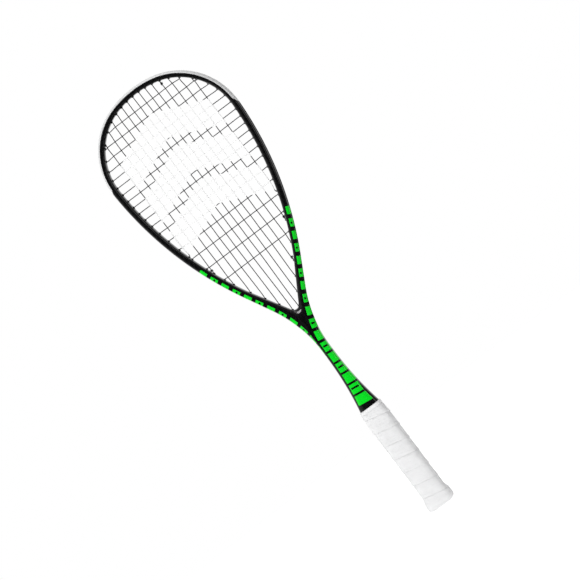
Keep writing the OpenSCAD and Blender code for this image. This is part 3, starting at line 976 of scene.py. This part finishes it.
def meets(k, j):
    """Whether main k crosses cross j inside the hoop."""
    return (LOW[k][0].y + CLEAR < CROSS_Z[j] < TOP[k][0].y - CLEAR
            and main_x(k) < CROSS[j][0].x - CLEAR)


def over(column, j):
    """1 where the main lies behind the cross, -1 where it lies in front."""
    return 1 if (column + j) % 2 == 0 else -1


# %% Turning points of both cords
def main_down(k, side):
    column = MAINS + k if side > 0 else MAINS - 1 - k
    run = [Vector((side * main_x(k), WEAVE * over(column, j), CROSS_Z[j]))
           for j in range(CROSSES) if meets(k, j)]
    return leave(TOP[k], side, -SIDE_Y)[::-1] + run + leave(LOW[k], side, -SIDE_Y)


def main_half(side):
    path = []
    for k in range(MAINS):
        down = main_down(k, side)
        path += down if k % 2 == 0 else down[::-1]
        if k < MAINS - 1:
            ends = LOW if k % 2 == 0 else TOP
            path += in_groove(side * ends[k][2], side * ends[k + 1][2], -LOOP_Y)
    path += in_groove(side * LOW[6][2], side * LOW[5][2], -LOOP_Y)
    path += leave(LOW[5], side, SIDE_Y)[::-1]
    return path + knot(side * main_x(5), LOW[5][0].y + 3.2, side)


def cross_row(j):
    run = []
    for column in range(2 * MAINS):
        k, side = (column - MAINS, 1) if column >= MAINS else (MAINS - 1 - column, -1)
        if meets(k, j):
            run.append(Vector((side * main_x(k), -WEAVE * over(column, j), CROSS_Z[j])))
    row = leave(CROSS[j], -1, SIDE_Y)[::-1] + run + leave(CROSS[j], 1, SIDE_Y)
    return row[::-1] if j % 2 == 0 else row


main_path = main_half(-1)[::-1] + in_groove(-TOP[0][2], TOP[0][2], -LOOP_Y) + main_half(1)
cross_path = (knot(main_x(3), TOP[3][0].y - 5.9, 1)[::-1] + leave(TOP[3], 1, SIDE_Y)
              + in_groove(TOP[3][2], CROSS[0][2], LOOP_Y))
for j in range(CROSSES):
    cross_path += cross_row(j)
    if j < CROSSES - 1:
        side = -1 if j % 2 == 0 else 1
        cross_path += in_groove(side * CROSS[j][2], side * CROSS[j + 1][2], LOOP_Y)
cross_path += in_groove(CROSS[17][2], LOW[3][2], LOOP_Y) + leave(LOW[3], 1, SIDE_Y)[::-1]
cross_path += knot(main_x(3), LOW[3][0].y + 3.2, 1)
print("turning points:", len(main_path), "mains,", len(cross_path), "crosses")

# %% [markdown]
# ## String with painted ink
# The string is a black multifilament: fine threads twisted round a core, seen
# as a slanted ribbing, under a smooth clear skin. White ink is rolled through a
# stencil on to the string bed. Here the stencil is three plain chevrons, and
# the ink is a little thin in places.

# %% String finish
INK_LOW, INK_HIGH, INK_HALF = 496.0, 644.0, 73.9
CHEVRON, CHEVRON_SLOPE, CHEVRON_SHARE = 54.0, 0.42, 0.74


def string_finish(name, flip):
    made, tree, shader = new_finish(name, (0.008, 0.008, 0.009), 0.35, Specular_IOR_Level=0.3,
                                    Coat_Weight=0.3, Coat_Roughness=0.15)
    place = place_mm(tree)
    x, _, z = parts(place)
    along, across, _ = parts(flow_mm(tree))
    ribs = ((along * 0.9 + across * (1.6 * flip)).part() * 2 - 1).size()
    height = z + x.size() * CHEVRON_SLOPE
    stripe = ((height - INK_LOW) / CHEVRON).part()
    patch = (height.within(INK_LOW, INK_HIGH, 0.2)
             * (1 - x.size().rise(INK_HALF - 0.3, INK_HALF + 0.3))
             * (1 - stripe.rise(CHEVRON_SHARE - 0.005, CHEVRON_SHARE + 0.005)))
    thin = noise(place, 0.9, 3, 0.6)
    ink = patch * thin.rise(0.2, 0.3)
    cloud = noise(place, 0.2, 2)
    dark = blend(ribs * 0.5 + cloud * 0.5, (0.005, 0.005, 0.006), (0.016, 0.016, 0.017))
    white = blend(thin, (0.90, 0.90, 0.90), (0.96, 0.96, 0.96))
    drive(shader, Base_Color=blend(ink, dark, white),
          Roughness=0.28 + 0.12 * cloud + 0.25 * ink, Coat_Weight=0.3 * (1 - ink),
          Normal=bump(ribs * (1 - 0.6 * ink) + ink * thin * 0.8, 0.35, 0.00008))
    return made


# %% Round cords along the paths
CORD_SIDES, CORD_STEP = 8, 1.9


def smooth_path(points, size):
    """A Catmull-Rom curve through the points, cut into steps of about size."""
    out = []
    for i in range(len(points) - 1):
        p0, p1 = points[max(i - 1, 0)], points[i]
        p2, p3 = points[i + 1], points[min(i + 2, len(points) - 1)]
        d1, d2, d3 = (((b - a).length or 1) ** 0.5 for a, b in ((p0, p1), (p1, p2), (p2, p3)))
        m1, m2 = p2 - p1, p2 - p1
        if i:
            m1 = m1 - d2 * ((p2 - p0) / (d1 + d2) - (p1 - p0) / d1)
        if i + 2 < len(points):
            m2 = m2 + d2 * ((p3 - p2) / d3 - (p3 - p1) / (d2 + d3))
        n = max(1, round((p2 - p1).length / size))
        out += [hermite(p1, p2, m1, m2, k / n) for k in range(n)]
    return out + [points[-1]]


def cord(name, cad_node, path, finish):
    """Sweeps a ring that turns as little as it can on its way along the path."""
    points = smooth_path(path, CORD_STEP)
    r = STRING_D / 2
    angles = [2 * math.pi * k / CORD_SIDES for k in range(CORD_SIDES)]
    rings, marks, reach = [], [], 0.0
    across = (points[1] - points[0]).cross(Vector((0, 1, 0.01)))
    for i, p in enumerate(points):
        ahead = (points[min(i + 1, len(points) - 1)] - points[max(i - 1, 0)]).normalized()
        across = (across - ahead * across.dot(ahead)).normalized()
        third = ahead.cross(across)
        reach += (p - points[i - 1]).length if i else 0
        rings.append([(p + r * (math.cos(a) * across + math.sin(a) * third)) * MM
                      for a in angles])
        marks.append([(reach, a * r) for a in angles])
    bm = sweep(rings, marks)
    uv_from_marks(bm)
    piece(bm, name, cad_node, finish=finish, sharp=60)
    print(name, "is", round(reach * MM, 2), "m long")


cord("mains", "main_string", main_path, string_finish("main_string_skin", 1))
cord("crosses", "cross_string", cross_path, string_finish("cross_string_skin", -1))

# %% [markdown]
# ## The wound grip
# The grip is one soft white tape, about 25 mm wide, wound from the butt upwards
# so that each turn covers the edge of the last. That overlap makes the slanted
# seams. So the tape itself is swept: its thin section, with pared edges, climbs
# round the handle 21.2 mm a turn. Flat cuts at the butt and at the top trim it,
# as scissors do.

# %% White grip tape
PITCH = 21.2


def grip_white():
    made, tree, shader = new_finish("grip_white", (0.84, 0.84, 0.845), 0.62,
                                    Subsurface_Weight=0.08, Subsurface_Scale=0.002,
                                    Subsurface_Radius=(1, 1, 1),
                                    Sheen_Weight=0.15, Sheen_Roughness=0.5)
    place, flow = place_mm(tree), flow_mm(tree)
    across = parts(flow)[1]
    # painted shade: the tape is darker along each seam, where one turn steps over the last
    seam_shade = 1 - across.rise(0.1, 0.9) + across.rise(PITCH - 0.9, PITCH)
    cloud = noise(place, 0.05, 3)
    grime = noise(place, 0.14, 4, 0.65).rise(0.45, 0.8)
    crease = noise(stretched(flow, (0.035, 0.4, 1), 0.25), 1.0, 3, 0.55)
    fold = 1 - (crease * 2 - 1).size().rise(0.0, 0.07)
    pores = node(tree, "ShaderNodeTexVoronoi", {}, {"Vector": place, "Scale": 1.35})
    skin = noise(place, 3.0, 3, 0.6)
    base = blend(cloud, (0.80, 0.80, 0.803), (0.755, 0.755, 0.762))
    # painted shade along the seams and along the creases, plus random grime that is real dirt
    grime_and_painted_shade = seam_shade * 0.24 + grime * 0.10 + fold * 0.08
    drive(shader, Base_Color=blend(grime_and_painted_shade, base, (0.52, 0.52, 0.53)),
          Roughness=0.56 + 0.12 * skin + 0.1 * cloud,
          Normal=bump(pores * 0.35 + skin * 0.3 - fold * 1.1 + cloud * 0.8, 0.5, 0.00025))
    return made


# %% The handle's outline
GRIP_W, GRIP_D, BUTT_W, BUTT_D = 34.4, 30.0, 40.0, 35.4
EDGE_R, OVAL = 5.0, 0.55
STEPS = 64


def ease(z, a, b):
    t = max(0.0, min(1.0, (z - a) / (b - a)))
    return t * t * (3 - 2 * t)


def grip_size(z):
    """Half width and half depth over the grip at height z: flared and rounded at
    the butt, a little drawn in at the top."""
    f, e = 1 - ease(z, 8, 25), ease(z, GRIP_TOP - 22, GRIP_TOP)
    rise = EDGE_R - max(0.0, min(EDGE_R, z))
    tuck = EDGE_R - math.sqrt(EDGE_R ** 2 - rise ** 2)
    return ((mix(GRIP_W, BUTT_W, f) - 2.2 * e) / 2 - tuck,
            (mix(GRIP_D, BUTT_D, f) - 3.0 * e) / 2 - tuck)


def lap(count, square=OVAL):
    """Even steps round the outline, from the middle of the front to the left, as
    shares of its half width and half depth. Returns them and the way round."""
    w, d = GRIP_W / 2, GRIP_D / 2
    fine = [(-power(sind(a / 4), square) * w, -power(cosd(a / 4), square) * d)
            for a in range(0, 1441)]
    walk = [0.0]
    for here, there in zip(fine, fine[1:]):
        walk.append(walk[-1] + math.dist(here, there))
    spots, i = [], 0
    for k in range(count):
        while walk[i + 1] < walk[-1] * k / count:
            i += 1
        f = (walk[-1] * k / count - walk[i]) / (walk[i + 1] - walk[i])
        spots.append((mix(fine[i][0], fine[i + 1][0], f) / w,
                      mix(fine[i][1], fine[i + 1][1], f) / d))
    return spots, walk[-1]


LAP, LAP_LENGTH = lap(STEPS)
print("once round the grip:", round(LAP_LENGTH, 1), "mm")

# %% Wind the tape
TAPE = [(0, 0.02), (0.12, 0.36), (0.5, 0.52), (1.4, 0.5), (2.8, 0.36), (4.6, 0.16), (7, 0.04),
        (10, 0), (13, 0.02), (16, 0), (18.5, -0.02), (20.4, -0.06), (21.2, -0.16), (22.4, -0.5),
        (24, -1.2), (25, -1.8), (22, -1.95), (12, -1.95), (4.6, -1.9), (3, -1.05), (1.2, -0.35)]
TAPE_DEEP = 1.95
SEAM_Z, TRIM_Z, LOWEST_Z = -23.3, 0.7, -3


def handle_point(step, z, off):
    """A point off the grip's surface. The tape's inner side stays clear of the tube."""
    w, d = grip_size(z)
    x, y = LAP[step % STEPS]
    if off > -1:
        off += 0.13 * math.sin(z * 0.31 + step * 0.19) * math.sin(step * 0.61 + z * 0.07)
    if off < 0:
        off *= min(1.0, (w - flare(z)[0] - 0.05) / TAPE_DEEP)
    return millimetres((w + off) * x, (d + off) * y, max(z, LOWEST_Z))


turns = (GRIP_TOP + 1 - SEAM_Z) / PITCH
rings, marks = [], []
for step in range(math.ceil(turns * STEPS)):
    z = SEAM_Z + PITCH * step / STEPS
    rings.append([handle_point(step, z + w, off) for w, off in TAPE])
    marks.append([(step / STEPS * LAP_LENGTH, w) for w, off in TAPE])
bm = sweep(rings, marks)
for height, at_top in ((GRIP_TOP, True), (TRIM_Z, False)):
    cut = bmesh.ops.bisect_plane(bm, geom=everything(bm), dist=1e-7,
                                 plane_co=(0, 0, height * MM), plane_no=(0, 0, 1),
                                 clear_outer=at_top, clear_inner=not at_top)
    rim = [g for g in cut["geom_cut"] if isinstance(g, bmesh.types.BMEdge)]
    bmesh.ops.holes_fill(bm, edges=rim, sides=0)
uv_from_marks(bm)
grip = piece(bm, "grip_tape_wound", "grip_tape", finish=grip_white(),
             sharp=50)
print("tape length", round(turns * LAP_LENGTH * MM, 2), "m")

# %% [markdown]
# ## Finishing band
# A narrow strip of film holds the top of the tape. It hugs the grip, turns over
# its edge and closes on the shaft. Its faint cross wrinkles come from pulling
# the film tight.

# %% Band
RING_STEPS = 48


def band_film():
    made, tree, shader = new_finish("band_film", (0.8, 0.8, 0.8), 0.3, Coat_Weight=0.3,
                                    Coat_Roughness=0.2)
    place = place_mm(tree)
    pull = noise(stretched(place, (0.5, 0.5, 0.06)), 1.0, 3, 0.6)
    cloud = noise(place, 0.2, 2)
    # painted shade: the band is darker along its lower edge, where it turns under onto the tape
    edge = 1 - parts(place)[2].rise(156.6, 157.3)
    drive(shader, Base_Color=blend(edge * 0.4 + cloud * 0.2, (0.83, 0.83, 0.83),
                                   (0.5, 0.5, 0.51)),
          Roughness=0.26 + 0.16 * pull, Normal=bump(pull + cloud * 0.3, 0.5, 0.0002))
    return made


def oval(w, d, z, square=OVAL):
    """A ring round the handle, w and d being half sizes."""
    return [millimetres(w * x, d * y, z) for x, y in lap(RING_STEPS, square)[0]]


def over_grip(z, off):
    w, d = grip_size(min(z, GRIP_TOP))
    return oval(w + off, d + off, z)


def plain_sweep(rings, capped):
    return sweep(rings, [[(0, 0)] * RING_STEPS] * len(rings), capped)


rings = [over_grip(156.6, 0.05), over_grip(156.5, 0.26), over_grip(156.75, 0.38),
         over_grip(158.5, 0.36), over_grip(160.1, 0.36), over_grip(160.7, 0.2),
         oval(15.85, 13.2, 161.2, 0.6), oval(15.5, 12.6, 161.7, 0.72),
         oval(15.28, 12.25, 161.9, 0.8), oval(15.2, 12.15, 161.2, 0.8),
         over_grip(160.2, -0.9), over_grip(157, -0.3)]
bm = plain_sweep(rings + rings[:1], capped=False)
bmesh.ops.remove_doubles(bm, verts=bm.verts, dist=1e-6)
piece(bm, "finishing_film", "finishing_band", finish=band_film(), sharp=60)

# %% [markdown]
# ## Butt cap
# The moulded cap gives the handle its flare, and its end face looks out below
# the tape. The face has a shallow oval dish with a soft edge.

# %% Cap
def cap_plastic():
    made, tree, shader = new_finish("cap_plastic", (0.8, 0.8, 0.79), 0.45)
    place = place_mm(tree)
    cloud = noise(place, 0.1, 3)
    spark = noise(place, 2.6, 3, 0.6)
    end_face = 1 - parts(place)[2].rise(0.05, 0.5)
    scuff = noise(place, 0.5, 5, 0.75).rise(0.58, 0.75) * end_face
    drive(shader, Base_Color=blend(scuff * 0.4 + cloud * 0.15, (0.82, 0.82, 0.81),
                                   (0.4, 0.4, 0.4)),
          Roughness=0.4 + 0.15 * spark + 0.2 * scuff, Normal=bump(spark, 0.4, 0.00015))
    return made


rings = [oval(15.2, 13, 24), oval(16.3, 14, 18), oval(17.8, 15.6, 11), oval(17.8, 15.6, 4),
         oval(17.5, 15.3, 1.6), oval(17.0, 14.8, 0.7), oval(16.3, 14.1, 0.18), oval(15.5, 13.3, 0),
         oval(12.8, 10.6, 0), oval(12.3, 10.1, 0.12), oval(11.9, 9.7, 0.5), oval(11.2, 9, 0.7),
         oval(5, 4, 0.75)]
piece(plain_sweep(rings, capped=True), "butt_cap_moulded", "butt_cap",
      finish=cap_plastic(), sharp=60)

# %% [markdown]
# ## Pieces inside the handle
# Foam fills the two bores of the handle and two wire staples pin the cap. Their
# CAD shapes are right, so they stay and only get a finish: open-celled foam,
# and drawn steel wire with fine lines round it.

# %% Foam and staples
def handle_foam():
    made, tree, shader = new_finish("handle_foam", (0.78, 0.7, 0.5), 0.9)
    place = place_mm(tree)
    cells = node(tree, "ShaderNodeTexVoronoi", {}, {"Vector": place, "Scale": 1.4})
    cloud = noise(place, 0.08, 3)
    drive(shader, Base_Color=blend(cells.rise(0.1, 0.75) * 0.6 + cloud * 0.4,
                                   (0.55, 0.46, 0.28), (0.84, 0.77, 0.57)),
          Roughness=0.8 + 0.15 * cloud, Normal=bump(cells, 0.8, 0.0004))
    return made


def staple_wire():
    made, tree, shader = new_finish("staple_wire", (0.6, 0.61, 0.63), 0.3, Metallic=1.0)
    place = place_mm(tree)
    drawn = noise(stretched(place, (0.4, 6, 6)), 1.0, 3, 0.7)
    spots = noise(place, 1.5, 4, 0.7).rise(0.6, 0.75)
    drive(shader, Base_Color=blend(spots * 0.5, (0.62, 0.63, 0.65), (0.33, 0.27, 0.22)),
          Roughness=0.25 + 0.25 * drawn + 0.2 * spots, Normal=bump(drawn, 0.3, 0.00005))
    return made


for finish, names in ((handle_foam(), ("foam_core_left", "foam_core_right")),
                      (staple_wire(), ("staple_front", "staple_back"))):
    for name in names:
        obj = bpy.data.objects[name]
        obj.data.materials.clear()
        obj.data.materials.append(finish)
        print(name, "has", finish.name)

# %% [markdown]
# ## Floor and light
# A white floor lies just under the butt, and the air around is white as well,
# so no horizon shows. The racket itself sees another room: bright on the left
# and behind, lit from above, and dark in front, with a dim floor in its gloss.
# That keeps the black deep and still draws bright lines along the tube. One
# large soft light stands in front on the left, a weak one on the right, and a
# long one hangs above.

# %% Floor
FLOOR_Z, FLOOR_R = -0.03, 1.7
bm = bmesh.new()
bmesh.ops.create_circle(bm, cap_ends=True, segments=64, radius=FLOOR_R)
bmesh.ops.translate(bm, verts=bm.verts, vec=(0, 0, FLOOR_Z))
floor = add_object("floor", bpy.data.meshes.new("floor"))
bm.to_mesh(floor.data)
bm.free()
floor_paint, tree, shader = new_finish("floor_paint", (0.82, 0.82, 0.82), 0.9,
                                       Specular_IOR_Level=0.1, Emission_Strength=0.6,
                                       Emission_Color=(1, 1, 1, 1))
# gloss on the racket sees a dark floor, as under a polarised studio light
gloss_ray = node(tree, "ShaderNodeLightPath", out="Is Glossy Ray")
dim = node(tree, "ShaderNodeEmission", {}, {"Strength": 0.06})
floor_look = node(tree, "ShaderNodeMixShader", {},
                  {0: gloss_ray, 1: Wire(shader.outputs[0]), 2: dim})
tree.links.new(floor_look.socket, tree.nodes["Material Output"].inputs[0])
floor.data.materials.append(floor_paint)
print("floor at", FLOOR_Z, "m")

# %% World and lights
world = bpy.data.worlds.new("studio")
bpy.context.scene.world = world
world.use_nodes = True
tree = world.node_tree
tree.nodes.clear()
seen = node(tree, "ShaderNodeLightPath", out="Is Camera Ray")
air = node(tree, "ShaderNodeBackground", {}, {"Color": (1, 1, 1, 1), "Strength": 1.0})
right, behind, above = parts(node(tree, "ShaderNodeTexCoord", out="Generated"))
glow = (0.03 + 0.5 * (right * -1).rise(0.5, 0.95) + 0.12 * right.rise(0.75, 1.0)
        + 0.8 * behind.rise(0.4, 0.95) + 0.35 * above.rise(0.3, 0.95))
room = node(tree, "ShaderNodeBackground", {}, {"Color": (1, 1, 1, 1), "Strength": glow})
sky = node(tree, "ShaderNodeMixShader", {}, {0: seen, 1: room, 2: air})
tree.links.new(sky.socket, tree.nodes.new("ShaderNodeOutputWorld").inputs[0])


def soft_light(name, at, aim, width, height, watts):
    lamp = bpy.data.lights.new(name, "AREA")
    lamp.shape, lamp.size, lamp.size_y, lamp.energy = "RECTANGLE", width, height, watts
    obj = add_object(name, lamp)
    obj.location = at
    look_along(obj, Vector(aim) - Vector(at))
    print(name, watts, "W")


soft_light("key", (-0.9, -2.3, 1.8), (0, 0, 0.35), 1.2, 1.2, 52)
soft_light("fill", (2.6, -0.5, 0.5), (0, 0, 0.3), 0.5, 1.8, 5)
soft_light("top", (0.3, -0.2, 2.3), (0, 0, 0.5), 2.0, 0.5, 10)
bpy.context.scene.view_settings.view_transform = "Standard"
bpy.context.scene.view_settings.look = "None"
